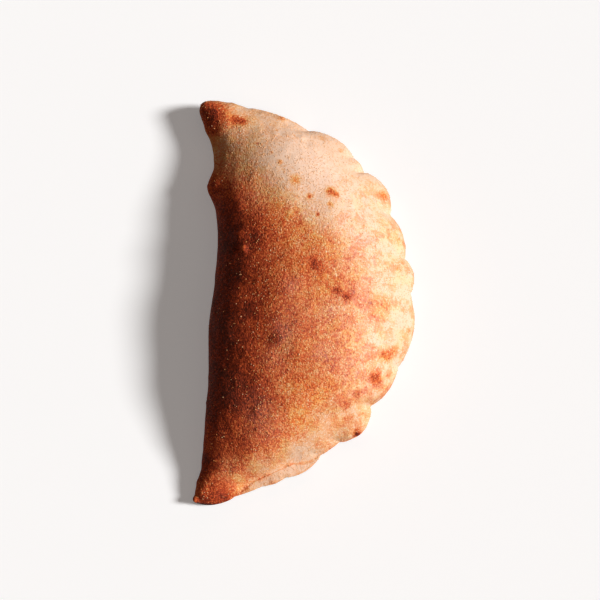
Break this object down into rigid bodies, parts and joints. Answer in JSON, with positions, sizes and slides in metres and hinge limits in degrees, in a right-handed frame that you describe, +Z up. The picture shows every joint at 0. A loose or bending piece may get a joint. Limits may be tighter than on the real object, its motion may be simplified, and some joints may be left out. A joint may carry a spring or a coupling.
{
  "type": "calzone",
  "caption": "Whole baked calzone: a half-moon of folded dough with a domed top, a rounded fold and a finger-pinched scalloped rim.",
  "frame": {"origin": "on the plane that the calzone rests on, under the middle of its box", "axes": "+Z up; Y runs along the fold from the flat tip (-Y) to the raised horn tip (+Y); +X points from the fold to the pinched rim"},
  "size_m": [0.1414, 0.2628, 0.0489],
  "materials": {
    "baked_dough": "matt baked crust, pale at the rim and tips, golden to red-brown on the dome, dusted with flour"
  },
  "bodies": {
    "root": {"calzone": "baked_dough"}
  },
  "joints": []
}
